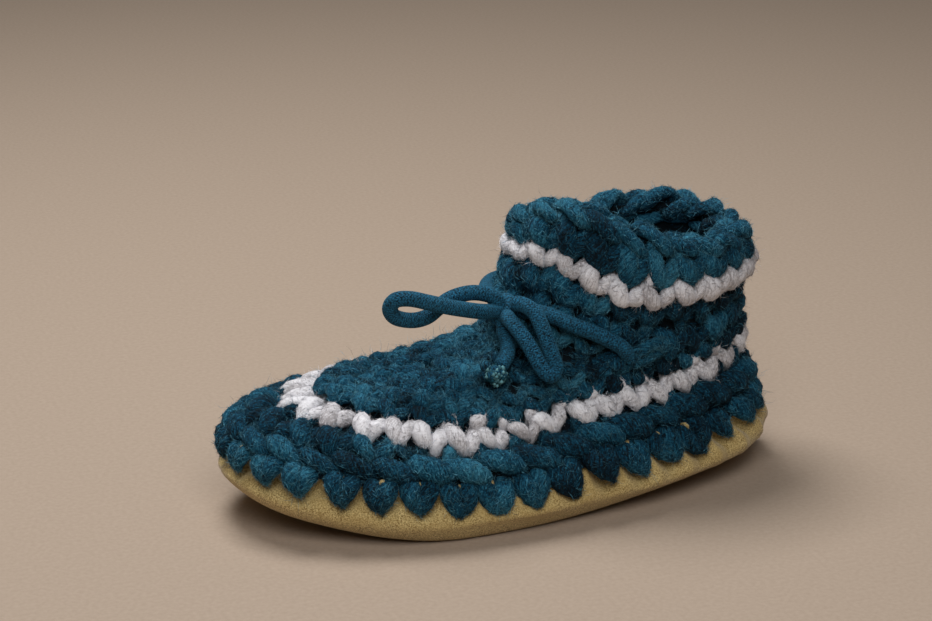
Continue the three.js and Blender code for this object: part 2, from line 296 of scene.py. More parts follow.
def bump(tree, shader, height, strength, distance):
    """Raises the shader's surface by a height."""
    node = add_node(tree, "ShaderNodeBump", Height=height, Strength=strength, Distance=distance)
    put(tree, shader.inputs["Normal"], node.outputs["Normal"])


def suede_shape():
    """The suede's skin: out from the middle of the tread, up the turned side to the rim, and down inside.

    The side is drawn in at each stitch tip and swells between the tips, further down toward the heel. Powers
    of the cosine of the stitch give the shape along the edge, and bells of the level the shape up the side.
    """
    shares = np.arange(SOLE_COLUMNS) / SOLE_COLUMNS
    levels = np.concatenate([np.linspace(0, 5, 31), np.linspace(5.2, 6, 5)])
    up = levels[:, None]
    inside = inset(SOLE_RINGS, SUEDE)
    inside[0, HEIGHTS] = SUEDE
    tip = np.cos(2 * np.pi * (STITCHES * shares - TIP_PHASE))
    at_tip, between_tips = np.maximum(tip, 0), np.maximum(-tip, 0)
    drawn = -TIP_DRAW * at_tip ** 5 * bell(up, 4.2, 0.9)
    swollen = SWELL * between_tips ** 1.5 * bell(up, 5.0, 0.7)
    gathered = HEEL_GATHER * ramp(folded(shares), 0.22, 0.15) * between_tips ** 2 * bell(up, 3.7, 1.0)
    ripple = np.sin(2 * np.pi * (5 * shares + 0.2)) + np.sin(2 * np.pi * (11 * shares + 0.6))
    moved_out = (drawn + swollen + gathered + UNEVEN * ripple * bell(up, 3.0, 1.0))[..., None]
    sides = [ring_points(table, levels, shares) for table in (SOLE_RINGS, inside)]
    outer, inner = (side + grid_normals(side) * moved_out for side in sides)
    outer[..., 2] = np.maximum(outer[..., 2], 0)
    parts = np.linspace(0.06, 0.94, 7)
    return np.concatenate([drawn_in(outer[0], parts), outer, inner[::-1], drawn_in(inner[0], parts[::-1])])


def suede_material():
    """Napped suede: a fine grain, small clouds and large worn patches, each from a noise of its own."""
    material, tree, shader = new_material("suede")
    place = object_place(tree)
    grain = noise(tree, place, scale=2600, detail=2, roughness=0.6)
    clouds = noise(tree, place, scale=300, detail=3)
    patches = noise(tree, place, scale=32, detail=2)
    nap = mix_colours(tree, span(tree, grain, 0.36, 0.64), SUEDE_DARK, SUEDE_LIGHT)
    cloudy = mix_colours(tree, span(tree, clouds, 0.35, 0.75, most=0.6), nap, SUEDE_CLOUD)
    worn = mix_colours(tree, span(tree, patches, 0.4, 0.7, most=0.35), cloudy, SUEDE_WORN)
    set_node(tree, shader, Base_Color=worn, Roughness=0.95, Specular_IOR_Level=0.15, Sheen_Weight=0.25,
             Sheen_Roughness=0.5)
    bump(tree, shader, total(tree, (grain, 1.0), (clouds, 0.8)), strength=0.5, distance=0.0003)
    return material


SUEDE_FINISH = suede_material()
sole = make_mesh("suede_sole", *closed_rows(suede_shape()))
finish_piece(sole, SUEDE_FINISH, "suede", "sole")


# Insole: a pad of short cream fleece that lies loose in the suede tray. Its pile stands in small curls.
INSOLE_COLUMNS = 140
INSOLE_TOP = np.array([73.0, 10.0, -74.0, 10.0, 33.0, 8.2, 18.5])
INSOLE_EDGE = 0.4  # the edge's fullest line, as a part of the way up the roll of the suede
FIT_GAP = 0.3
CURL = 0.35
FLEECE_HOLLOW_SHADE = (176, 160, 132)
FLEECE_PALE = (240, 230, 210)


def fleece_shape():
    """The pad's skin: under side, edge in three rings, and a top that bulges in small curls of pile.

    A curl is a product of two sines, one across and one along the pad, each bent by the other way's sine.
    """
    shares = np.arange(INSOLE_COLUMNS) / INSOLE_COLUMNS
    bed = inset(SOLE_RINGS, SUEDE + FIT_GAP)
    bed[0, HEIGHTS] = SUEDE + FIT_GAP
    fullest = bed[1] + INSOLE_EDGE * (bed[2] - bed[1])
    side = ring_points(np.stack([bed[0], bed[1], fullest, INSOLE_TOP]), np.linspace(0, 3, 13), shares)
    parts = np.linspace(0.97, 0.03, 24)
    top = drawn_in(side[-1], parts)
    x, y = top[..., 0], top[..., 1]
    curls = np.sin(1.9 * x + 1.3 * np.sin(0.9 * y)) * np.sin(2.1 * y + 1.1 * np.sin(1.1 * x))
    top[..., 2] += CURL * curls * np.minimum(1, 6 * (1 - parts))[:, None]
    return np.concatenate([drawn_in(side[0], parts[::-4]), side, top])


def fleece_material():
    """Short curly pile with painted shade in the hollows between the curls, where one noise both lowers the
    pile and deepens its colour.
    """
    material, tree, shader = new_material("fleece")
    curl = noise(tree, object_place(tree), scale=520, detail=4, roughness=0.65)
    tone = mix_colours(tree, span(tree, curl, 0.3, 0.7), FLEECE_HOLLOW_SHADE, FLEECE_PALE)
    set_node(tree, shader, Base_Color=tone, Roughness=1.0, Sheen_Weight=0.4)
    bump(tree, shader, curl, strength=0.8, distance=0.001)
    return material


insole = make_mesh("fleece_insole", *closed_rows(fleece_shape()))
finish_piece(insole, fleece_material(), "fleece", "insole")


# Wall: the felted inside of the crochet, where the backs of the stitches lie against each other.
# It runs up from the rim of the suede, over the collar and down the inside, under the yarn that shows.
WALL = 7.0
RIM_RISE = 3.2
SLOUCH_FRONT = 6.5  # how far the soft collar tips, near side up at the front and down at the back
SLOUCH_BACK = 1.0
SLOUCH_LEVEL = 6.5  # and the level it starts from
WALL_COLUMNS = 144
UPPER_RINGS = np.array([
    # front_x, front_z, back_x, back_z, half_width, side_z, widest_x
    [86.2, 18.2, -86.4, 16.2, 42.5, 9.2, 19.5],  # 0 stitch tips
    [86.0, 25.5, -84.0, 22.0, 41.5, 17.6, 18.0],  # 1 top of the V stitches
    [76.5, 33.0, -80.5, 31.0, 36.0, 25.8, 16.0],  # 2 top of the rope round
    [59.5, 35.5, -79.5, 40.0, 29.5, 33.0, 12.0],  # 3 top of the white round
    [36.0, 37.0, -78.5, 45.5, 27.5, 38.0, -8.0],  # 4 middle of the instep
    [5.0, 45.0, -77.5, 52.0, 26.0, 47.0, -30.0],  # 5 throat
    [1.0, 56.0, -78.0, 59.5, 25.7, 57.0, -35.5],  # 6 ankle, where the drawstring lies
    [-3.5, 74.0, -79.5, 67.0, 27.8, 64.5, -42.5],  # 7 white ankle round
    [-6.0, 83.0, -77.0, 74.0, 26.8, 75.0, -45.5],  # 8 chain edge of the collar
])
OUTSIDE_TOP = 8.0  # levels go up the outside to here
INSIDE_TOP = 9.0  # over the rim to here
INSIDE_END = 15.0  # and down the inside to here
LEVEL_STEP = 1 / 24
SHARE_STEPS = 720
FELT_DEPTHS = np.array([
    # level, depth under the yarn crests
    [0.95, 1.6], [1.4, 3.0], [3.2, 3.0], [3.8, 2.2], [5.0, 2.2], [5.6, 3.0], [7.6, 3.0], [8.3, 2.0],
    [8.8, 1.6], [9.4, 1.6], [14.85, 0.6],
])
FELT_STREAKS = np.array([0.3, 0.9, 0.9])
# The wall is tinted far deeper than the yarn over it: painted shade for the gaps between the stitches
FELT_SHADE_TINT = -2.2
FELT_UNDER = np.array([6.0, 6.0, 5.7])  # levels of the suede where the felt laps its rim, and sizes there
FELT_UNDER_SIZE = np.array([0.985, 1.014, 1.014])
RIM_LAP = 0.5  # how far the felt lies above the rim


def wall_grid():
    """The skin over the yarn crests by level and share of the way round: outside, half-round rim, inside.

    The collar slouches: its height changes with the sine of twice the angle, fading out down to the ankle.
    """
    shares = np.arange(SHARE_STEPS) / SHARE_STEPS
    levels = np.arange(0, OUTSIDE_TOP + LEVEL_STEP / 2, LEVEL_STEP)
    rings = smooth_rows(UPPER_RINGS, levels)
    angles = even_angles(rings, shares)
    outside = oval(rings[:, None, :], angles)
    inside = oval(smooth_rows(inset(UPPER_RINGS, WALL), levels)[:, None, :], angles)
    turn = np.pi * np.arange(LEVEL_STEP, 1 - LEVEL_STEP / 2, LEVEL_STEP)[:, None, None]
    rim = 0.5 * (outside[-1] + inside[-1]) + 0.5 * np.cos(turn) * (outside[-1] - inside[-1])
    rim[..., 2] += RIM_RISE * np.sin(turn[..., 0])
    slouch = np.where(np.cos(angles) > 0, SLOUCH_FRONT, SLOUCH_BACK) * np.sin(2 * angles)
    slouch = slouch * ramp(levels, SLOUCH_LEVEL, OUTSIDE_TOP - SLOUCH_LEVEL)[:, None] ** 2
    for skin, tipped in ((outside, slouch), (inside, slouch), (rim, slouch[-1])):
        skin[..., 2] += tipped
    depth = round((INSIDE_END - INSIDE_TOP) / LEVEL_STEP)
    return np.concatenate([outside, rim, inside[::-1][:depth + 1]])


WALL_SKIN = wall_grid()
WALL_NORMALS = grid_normals(WALL_SKIN)


def on_wall(share, level, height):
    """The point at a share and level, raised from the skin along its normal, and that normal.

    Both are blends of the four nearest points of the skin's grid.
    """
    row = np.clip(level / LEVEL_STEP, 0, len(WALL_SKIN) - 1.001)
    column = (share % 1.0) * SHARE_STEPS
    r, c = np.floor(row).astype(int), np.floor(column).astype(int)
    u, v = (row - r)[..., None], (column - c)[..., None]
    c = c % SHARE_STEPS
    d = (c + 1) % SHARE_STEPS
    point, normal = ((1 - u) * ((1 - v) * grid[r, c] + v * grid[r, d])
                     + u * ((1 - v) * grid[r + 1, c] + v * grid[r + 1, d])
                     for grid in (WALL_SKIN, WALL_NORMALS))
    normal = unit(normal)
    return point + normal * height[..., None], normal


def felt_shape():
    """The wall's skin as a loop of rings: outside, rim, inside, and back out over the rim of the suede."""
    shares = np.arange(WALL_COLUMNS) / WALL_COLUMNS
    foot, end = FELT_DEPTHS[[0, -1], 0]
    levels = np.concatenate([
        np.linspace(foot, OUTSIDE_TOP, 48), np.linspace(OUTSIDE_TOP + 0.1, INSIDE_TOP, 7),
        np.linspace(INSIDE_TOP + 0.15, end, 24)])
    depths = np.interp(levels, *FELT_DEPTHS.T)
    skin, _ = on_wall(shares[None], levels[:, None], -depths[:, None])
    under = ring_points(SOLE_RINGS, FELT_UNDER, shares)
    under[..., :2] *= FELT_UNDER_SIZE[:, None, None]
    under[:2, :, 2] += RIM_LAP
    return np.concatenate([skin, under])


def wool_group():
    """Loose single-ply wool: streaks along the yarn, dye patches, lint, and a tint for each stitch.
    The tint also carries painted shade: deeper toward the heel, and deepest on the wall between the
    stitches.
    """
    group = bpy.data.node_groups.new("wool_fibres", "ShaderNodeTree")
    for name, way, kind in (
            ("Deep", "INPUT", "Color"), ("Mid", "INPUT", "Color"), ("Pale", "INPUT", "Color"),
            ("Colour", "OUTPUT", "Color"), ("Height", "OUTPUT", "Float")):
        group.interface.new_socket(name, in_out=way, socket_type="NodeSocket" + kind)
    given = add_node(group, "NodeGroupInput").outputs
    fibre = add_node(group, "ShaderNodeAttribute", attribute_name="fibre").outputs["Vector"]
    tint = add_node(group, "ShaderNodeAttribute", attribute_name="tint").outputs["Fac"]
    place = object_place(group)
    streak = noise(group, fibre, scale=1.0, detail=4, roughness=0.65)
    strand = noise(group, fibre, scale=2.6, detail=3, roughness=0.6)
    dye = noise(group, place, scale=75, detail=3)
    lint = noise(group, place, scale=1700, detail=2, roughness=0.6)
    depth = total(group, (streak, 1.3), (dye, 0.6), (tint, 0.16), (strand, 0.9), (lint, 0.7))
    low = mix_colours(group, span(group, depth, 1.50, 1.80), given["Deep"], given["Mid"])
    full = mix_colours(group, span(group, depth, 1.78, 2.18), low, given["Pale"])
    height = total(group, (streak, 1.0), (strand, 1.0), (lint, 0.35))
    add_node(group, "NodeGroupOutput", Colour=full, Height=height)
    return group


WOOL_FIBRES = wool_group()


def wool_material(name, deep, mid, pale, sheen):
    """Fuzzy matt wool in three tones of one dye."""
    material, tree, shader = new_material(name)
    wool = add_node(tree, "ShaderNodeGroup", node_tree=WOOL_FIBRES, Deep=deep, Mid=mid, Pale=pale)
    set_node(tree, shader, Base_Color=wool.outputs["Colour"], Roughness=0.9, Specular_IOR_Level=0.2,
             Sheen_Weight=sheen, Sheen_Roughness=0.45, Sheen_Tint=mid)
    bump(tree, shader, wool.outputs["Height"], strength=0.6, distance=0.0006)
    return material


TEAL = wool_material("teal_wool", deep=(0, 10, 17), mid=(2, 66, 92), pale=(66, 136, 160), sheen=0.25)
WHITE = wool_material("white_wool", deep=(172, 167, 169), mid=(229, 227, 231), pale=(247, 246, 250),
                      sheen=0.3)

felt = felt_shape()
felt_points = felt.reshape(-1, 3)
felt_quads = ring_faces(len(felt) + 1, WALL_COLUMNS) % len(felt_points)  # the last ring joins the first
wall = make_mesh("wool_wall", felt_points, felt_quads, (), fibre=felt_points * FELT_STREAKS,
                 tint=np.full(len(felt_points), FELT_SHADE_TINT))
finish_piece(wall, TEAL, "wool", "upper")


# Rounds of crochet: thick soft yarn worked round and round from the suede up to the collar. Every stitch
# shows as two fat legs of yarn that leave one hole and part like a V, over the tops of the round below.
ROUND_STEP = 0.05
ROUND_LEVELS = {  # the edges between rounds, at even steps of the share from the toe to the heel
    "tip": [0.30, 0.30, 0.28, 0.20, 0.03, 0.06, 0.30, 0.46, 0.50, 0.50, 0.50],
    "v_top": [1.15, 1.18, 1.20, 1.13, 1.05, 1.12, 1.40, 1.46, 1.42, 1.40, 1.40],
    "toe_row": [1.75, 1.78, 1.80, 1.88, 2.06, 2.28, 2.36, 2.38, 2.42, 2.46, 2.46],
    "rope_top": [2.42, 2.46, 2.35, 2.14, 2.08, 2.28, 2.36, 2.38, 2.42, 2.46, 2.46],
    "white_top": [3.10, 3.18, 3.06, 2.80, 2.72, 3.08, 3.20, 3.24, 3.28, 3.30, 3.30],
    "throat": [5.10, 5.10, 5.08, 5.05, 5.10, 5.25, 5.50, 5.55, 5.55, 5.55, 5.55],
    "band_foot": [6.74, 6.95, 6.94, 6.76, 6.50, 6.33, 6.33, 6.26, 6.32, 6.32, 6.32],
    "band_top": [7.08, 7.34, 7.32, 7.24, 7.12, 7.12, 7.21, 7.22, 7.22, 7.20, 7.20],
    "chain_foot": [7.80, 7.92, 7.95, 7.95, 7.90, 7.84, 7.86, 7.88, 7.88, 7.88, 7.88],
}
FULL_ROUND = 7.2  # height of a round, and width of a stitch, at which the yarn has its full thickness
FULL_STITCH = 9.4
FATNESS = (0.45, 1.2)  # least and most of that thickness
SMALLEST_ROUND = 3.0
ROW_HEIGHT = 6.8  # of the rows over the instep and round the ankle
LEG_RINGS = 12
LEG_SIDES = 10
THINNEST = 0.2
FLATNESS = 0.9  # thickness of a leg to its width
FIBRE_LENGTH = 4.5
FIBRE_BANDS = 5.0
YARN_TWIST = 0.07
FELTED = 0.16  # unevenness of the yarn, and its lumps
LUMPS = 0.07
SHIFT_SPREAD = 0.04  # spread of the place and bend of a stitch along its round
SIZE_SPREAD = 0.06  # of its size, and its place up the round
LIFT_SPREAD = 0.25
TINT_SPREAD = 0.5  # of the tint of a stitch, and of each leg
LEG_TINT_SPREAD = 0.3
TINTS = (-0.6, 0.9)  # least and most tint of a stitch
YARN_LENGTH = 90.0  # the yarn's streaks start anywhere along this length
HEEL_SIDE = 0.18  # the share at which the sides begin to turn into the heel
# One leg of yarn by its points: along the round in stitches, up it, height over the skin, half thickness
HEART_LEGS = [
    [[0.02, -0.07, -0.3, 0.5], [-0.01, 0.05, 0.0, 1.3], [-0.09, 0.28, -0.2, 2.3], [-0.17, 0.56, -0.6, 2.75],
     [-0.22, 0.84, -1.5, 2.75], [-0.20, 1.08, -4.2, 1.6]],
    [[0.03, -0.05, -0.5, 0.5], [0.06, 0.07, -0.2, 1.3], [0.13, 0.30, -0.4, 2.3], [0.20, 0.58, -0.8, 2.75],
     [0.24, 0.86, -1.7, 2.75], [0.22, 1.08, -4.4, 1.6]],
]
# The edge of the suede shows as a small tab between the two legs
TAB_LEGS = [
    [[0.02, 0.66, -3.0, 0.4], [0.02, 0.82, -1.5, 0.6], [0.02, 0.94, -1.2, 0.65], [0.02, 1.06, -2.8, 0.4]],
]
ROPE_LEGS = [
    [[-0.68, 0.82, -3.6, 1.2], [-0.47, 0.75, -1.6, 2.3], [-0.17, 0.58, -0.5, 3.1], [0.16, 0.42, -0.3, 3.1],
     [0.44, 0.28, -1.2, 2.4], [0.66, 0.20, -3.6, 1.3]],
    [[-0.34, 1.05, -4.2, 1.2], [-0.22, 0.80, -2.4, 2.0], [0.05, 0.36, -2.6, 2.4], [0.30, 0.04, -3.8, 1.6],
     [0.40, -0.12, -5.0, 1.0]],
]
PLAIN_LEGS = [
    [[-0.42, 1.08, -4.2, 1.3], [-0.38, 0.92, -2.3, 2.2], [-0.27, 0.68, -1.0, 2.8], [-0.14, 0.42, -0.6, 2.85],
     [-0.01, 0.16, -1.2, 2.4], [0.06, -0.08, -3.4, 1.3]],
    [[0.40, 1.00, -4.2, 1.2], [0.41, 0.84, -2.6, 1.9], [0.37, 0.62, -1.5, 2.4], [0.29, 0.40, -1.2, 2.45],
     [0.19, 0.16, -1.7, 2.1], [0.11, -0.08, -3.6, 1.2]],
]
# The top of a stitch, where it shows between the stitches of the next round
NUB_LEGS = [
    [[0.46, 0.66, -4.0, 1.0], [0.48, 0.92, -2.2, 1.6], [0.50, 1.14, -1.6, 1.75], [0.52, 1.32, -2.3, 1.4],
     [0.53, 1.46, -4.2, 0.8]],
]
WHITE_NUB_LEGS = [
    [[0.44, 0.80, -3.6, 1.2], [0.46, 1.02, -1.6, 1.9], [0.49, 1.22, -0.9, 2.2], [0.52, 1.42, -1.4, 1.9],
     [0.54, 1.58, -3.8, 0.9]],
]


def edge(name):
    """The level of an edge between rounds as a function of the share, the same on both sides."""
    levels = np.array(ROUND_LEVELS[name])[:, None]
    return lambda share: smooth_rows(levels, folded(share) / ROUND_STEP)[..., 0]


def yarn_tubes(paths, normals, wide, thick, tints, along_start):
    """Closed tubes along many paths at once, wider across the wall than they are thick.

    Each ring is an oval across its path, lying flat to the wall, and a sum of products of sines of the place
    makes the skin uneven. The fibre attribute runs along the yarn and turns round it, so that streaks follow
    the twist of the yarn.
    """
    count, rings, _ = paths.shape
    forward = unit(np.gradient(paths, axis=1))
    side = unit(np.cross(forward, normals))
    across, up = side[:, :, None], np.cross(side, forward)[:, :, None]
    half_across, half_up = wide[..., None, None], thick[..., None, None]
    turn = 2 * np.pi * np.arange(LEG_SIDES) / LEG_SIDES
    c, s = np.cos(turn)[:, None], np.sin(turn)[:, None]
    skin = paths[:, :, None] + across * (half_across * c) + up * (half_up * s)
    outward = unit(across * (c / half_across) + up * (s / half_up))
    x, y, z = np.moveaxis(skin, -1, 0)
    uneven = (np.sin(1.9 * x + 0.7 * z) * np.sin(2.3 * y - 1.1 * x)
              + np.sin(2.1 * z + 0.6 * y) * np.sin(1.7 * x - 1.3 * z))
    skin = skin + outward * (FELTED * uneven)[..., None]
    size = rings * LEG_SIDES
    _, quads, ends = closed_rows(np.zeros((rings, LEG_SIDES, 3)))
    first = (np.arange(count) * (size + 2))[:, None, None]
    along = lengths_along(paths) + along_start[:, None]
    twisted = turn + YARN_TWIST * 2 * np.pi * along[..., None]
    fibre = np.stack([np.broadcast_to(along[..., None] / FIBRE_LENGTH, twisted.shape),
                      FIBRE_BANDS * np.cos(twisted), FIBRE_BANDS * np.sin(twisted)], axis=-1)
    vectors = {
        "points": np.concatenate([skin.reshape(count, size, 3), paths[:, [0, -1]]], axis=1),
        "fibre": np.concatenate([fibre.reshape(count, size, 3), fibre[:, [0, -1], 0]], axis=1),
        "skin": skin, "outward": outward, "forward": np.repeat(forward, LEG_SIDES, axis=1),
        "wall": np.repeat(normals, LEG_SIDES, axis=1),
    }
    # The dye handed on to the fuzz is the stitch tint, which toward the heel holds painted shade as well as
    # dye
    return {key: values.reshape(-1, 3) for key, values in vectors.items()} | {
        "quads": (quads[:, [0, 3, 2, 1]] + first).reshape(-1, 4),
        "ends": (ends[:, [0, 2, 1]] + first).reshape(-1, 3),
        "tint": np.repeat(tints, size + 2), "dye": np.repeat(tints, size),
    }


def join_tubes(batches):
    """Several batches of tubes as one."""
    joined = {key: np.concatenate([batch[key] for batch in batches])
              for key in batches[0] if key not in ("quads", "ends")}
    offsets = np.cumsum([0] + [len(batch["points"]) for batch in batches[:-1]])
    for key in ("quads", "ends"):
        joined[key] = np.concatenate([batch[key] + offset for batch, offset in zip(batches, offsets)])
    return joined


def in_round(share, part, foot, top):
    """A point of the skin between a round's edges."""
    return on_wall(share, foot(share) + part * (top(share) - foot(share)), np.zeros_like(share))[0]


def round_height(share, foot, top):
    """Height of a round square to itself, and the rise at one share as a part of the step along it."""
    along = in_round(share + 0.005, 0.5, foot, top) - in_round(share - 0.005, 0.5, foot, top)
    rise = in_round(share, 1.0, foot, top) - in_round(share, 0.0, foot, top)
    sideways = (rise * along).sum(axis=1) / (along ** 2).sum(axis=1)
    return np.linalg.norm(rise - sideways[:, None] * along, axis=1), 0.01 * sideways


def stitch_frame(count, phase, foot, top):
    """Share, share step, height, width and lean of a round's stitches, which stand evenly along its middle.

    The lean is what it takes to stand square to the round, in stitches.
    """
    fine = np.arange(SHARE_STEPS + 1) / SHARE_STEPS
    lengths = lengths_along(in_round(fine, 0.5, foot, top))
    part = (np.arange(count) + phase) / count
    stitch, before, after = (np.interp((part + off / count) % 1.0 * lengths[-1], lengths, fine)
                             for off in (0, -0.5, 0.5))
    step = (after - before) % 1.0
    height, sideways = round_height(stitch, foot, top)
    return stitch, step, height, lengths[-1] / count, -sideways / step


def even(value):
    """A function of the share that has one value all the way round."""
    return lambda share: np.full_like(share, value)


def crochet(legs, count, phase, foot, top, seed, size=1.0, lean=even(0), rise=even(0), heel_dye_and_shade=0.0, leave=()):
    """One round of stitches between two edges.

    A leg's smooth curve is laid on the wall at each stitch: along the round by stitches, up by the height of
    the round, out by its own height. Each stitch is a little off in place, size and tint, and darker toward
    the heel, partly by a deeper dye and partly by painted shade. Where the round is too low for a stitch
    there is none.
    """
    chance = np.random.default_rng(seed)
    stitch, step, height, width, square = stitch_frame(count, phase, foot, top)
    used = (height > SMALLEST_ROUND) & ~np.isin(np.arange(count), leave)
    shift = chance.normal(0, SHIFT_SPREAD, count)
    swell = 1 + chance.normal(0, SIZE_SPREAD, count)
    tints = np.clip(chance.normal(0, TINT_SPREAD, count), *TINTS)
    # Toward the heel the tint deepens: partly deeper dye, partly painted shade, most on the instep and ankle
    tints = tints - heel_dye_and_shade * ramp(folded(stitch), HEEL_SIDE, 0.15)
    fat = size * swell * np.clip(np.minimum(height / FULL_ROUND, width / FULL_STITCH), *FATNESS)
    batches = []
    for leg in legs:
        a, b, out, thickness = smooth_rows(np.array(leg), np.linspace(0, len(leg) - 1, LEG_RINGS)).T
        bend = chance.normal(0, SHIFT_SPREAD, (count, 1)) * np.sin(np.linspace(0, np.pi, LEG_RINGS))
        up = b + chance.normal(0, SIZE_SPREAD, (count, 1))
        sideways = a + shift[:, None] + bend + square[:, None] * (up - 0.5)
        sideways = sideways + lean(stitch)[:, None] * (0.5 - b)
        share = stitch[:, None] + sideways * step[:, None]
        low = foot(share)
        lift = fat[:, None] * out + chance.normal(0, LIFT_SPREAD, (count, 1)) + rise(share)
        path, normal = on_wall(share, low + up * (top(share) - low), lift)
        wave = np.sin(np.linspace(0, 8, LEG_RINGS) + chance.uniform(0, 6.3, (count, 1)))
        wide = fat[:, None] * np.maximum(thickness, THINNEST) * (1 + LUMPS * wave)
        leg_tints = tints + chance.normal(0, LEG_TINT_SPREAD, count)
        starts = chance.uniform(0, YARN_LENGTH, used.sum())
        batches.append(yarn_tubes(path[used], normal[used], wide[used], FLATNESS * wide[used],
                                  leg_tints[used], starts))
    return join_tubes(batches)


def stacked(foot, top, row, from_top=False):
    """The edges of one of a stack of even rows between two edges. The last row is what is left."""
    fine = np.arange(SHARE_STEPS + 1) / SHARE_STEPS
    room = np.maximum(round_height(fine, foot, top)[0], 0.1)
    parts = [np.clip(rows * ROW_HEIGHT / room, 0, 1) for rows in (row, row + 1)]
    if from_top:
        parts = [1 - part for part in parts[::-1]]
    low, high = (foot(fine) + part * (top(fine) - foot(fine)) for part in parts)
    return ((lambda share: np.interp(share % 1.0, fine, low)),
            (lambda share: np.interp(share % 1.0, fine, high)))


def yarn_piece(name, material, *batches, slot="wool"):
    """The piece that holds batches of yarn tubes. The tubes are handed on to carry fuzz."""
    tubes = join_tubes(batches)
    piece = make_mesh(name, tubes["points"], tubes["quads"], tubes["ends"], fibre=tubes["fibre"],
                      tint=tubes["tint"])
    finish_piece(piece, material, slot)
    return tubes


def heel_lean(share):
    """How far a V stitch leans with the direction of work: little at the toe, more towards the heel."""
    return 0.06 + 0.30 * ramp(folded(share), HEEL_SIDE, 0.2)


TOPPED_LEGS = PLAIN_LEGS + NUB_LEGS
TOE_STITCHES = [0, 1, 2, 3, 32, 33, 34, 35]
v_round = yarn_piece("v_stitches", TEAL, crochet(
    HEART_LEGS, STITCHES, TIP_PHASE, edge("tip"), edge("v_top"), seed=1, size=0.95, lean=heel_lean,
    heel_dye_and_shade=0.3))
yarn_piece("suede_rim_tabs", SUEDE_FINISH, crochet(
    TAB_LEGS, STITCHES, TIP_PHASE, edge("tip"), edge("v_top"), seed=4, lean=heel_lean), slot="suede")
rope_round = yarn_piece(
    "rope_round", TEAL,
    crochet(ROPE_LEGS + NUB_LEGS, STITCHES, 0.90, edge("v_top"), edge("toe_row"), seed=2, size=0.95,
            heel_dye_and_shade=0.3),
    crochet(TOPPED_LEGS, STITCHES, 0.90, edge("toe_row"), edge("rope_top"), seed=6, size=1.1))
white_round = yarn_piece(
    "white_round", WHITE,
    crochet(PLAIN_LEGS, STITCHES, 0.78, edge("rope_top"), edge("white_top"), seed=3, size=0.98),
    crochet(WHITE_NUB_LEGS, STITCHES, 0.78, edge("rope_top"), edge("white_top"), seed=5,
            leave=TOE_STITCHES))

# The rows over the instep get shorter toward the ankle, and the first two puff up over the toe. Where the
# drawstring goes in, a stitch stands open as a ring of yarn
INSTEP_ROWS = 9
PUFFED_ROWS = 2
TOE_PUFF = 2.2
RING_SHARE = 0.256
RING_LEVEL = 4.88
RING_RADIUS = 3.7
RING_YARN = 1.9
RING_LIFT = 1.8  # height over the skin, and how much more at the top
RING_TILT = 0.5
RING_TINT = 0.2
RING_GAPS = {1: [10]}  # the stitches of a row that the ring takes the place of


def yarn_ring():
    """A closed loop of yarn on the wall: a circle in millimetres, measured along share and level."""
    turn = np.linspace(0, 2 * np.pi, 37)[None]
    share_step, level_step = 0.01, 0.1
    shares = RING_SHARE + np.array([0, share_step, 0])
    levels = RING_LEVEL + np.array([0, 0, level_step])
    middle, beside, above = on_wall(shares, levels, np.zeros(3))[0]
    share = RING_SHARE + RING_RADIUS * np.cos(turn) * share_step / np.linalg.norm(beside - middle)
    level = RING_LEVEL + RING_RADIUS * np.sin(turn) * level_step / np.linalg.norm(above - middle)
    path, normal = on_wall(share, level, RING_LIFT + RING_TILT * np.sin(turn))
    wide = RING_YARN * (1 + 0.08 * np.sin(3 * turn))
    return yarn_tubes(path, normal, wide, 0.95 * wide, np.array([RING_TINT]), np.zeros(1))


def toe_rise(share):
    """How far a row puffs up over the toe, behind the white round."""
    return TOE_PUFF * bell(folded(share), 0.0, 0.08)


# Their tint deepens toward the heel: painted shade on the sides, with some deeper dye
instep = yarn_piece("instep_rows", TEAL, *[
    crochet(TOPPED_LEGS, STITCHES - 2 * row, 0.76 + 0.3 * row,
            *stacked(edge("white_top"), edge("throat"), row), seed=10 + row, size=1.12, heel_dye_and_shade=0.8,
            rise=toe_rise if row < PUFFED_ROWS else even(0), leave=RING_GAPS.get(row, []))
    for row in range(INSTEP_ROWS)], yarn_ring())

# The ankle rounds lie in even rows under the white one. The roll of the collar pushes the white round out,
# with the round above it, and the tops of two of its stitches show
ANKLE_STITCHES = 22
ANKLE_ROWS = 4
BARE_TOPS = [stitch for stitch in range(ANKLE_STITCHES) if stitch not in (3, 4)]
# Their tint deepens strongly toward the heel: painted shade on the sides of the ankle, with some deeper dye
ankle = yarn_piece("ankle_rounds", TEAL, *[
    crochet(TOPPED_LEGS, ANKLE_STITCHES, 0.45 + 0.5 * row,
            *stacked(edge("throat"), edge("band_foot"), row, from_top=True), seed=20 + row, size=1.08,
            heel_dye_and_shade=1.6)
    for row in range(ANKLE_ROWS)])
white_band = yarn_piece(
    "white_ankle_round", WHITE,
    crochet(PLAIN_LEGS, ANKLE_STITCHES, 0.42, edge("band_foot"), edge("band_top"), seed=23, size=1.1,
            rise=even(0.8)),
    crochet(WHITE_NUB_LEGS, ANKLE_STITCHES, 0.42, edge("band_foot"), edge("band_top"), seed=26, size=0.8,
            leave=BARE_TOPS))
collar = yarn_piece("collar_rounds", TEAL, crochet(
    TOPPED_LEGS, ANKLE_STITCHES, 0.40, edge("band_top"), edge("chain_foot"), seed=24, size=1.12,
    rise=even(0.7)))

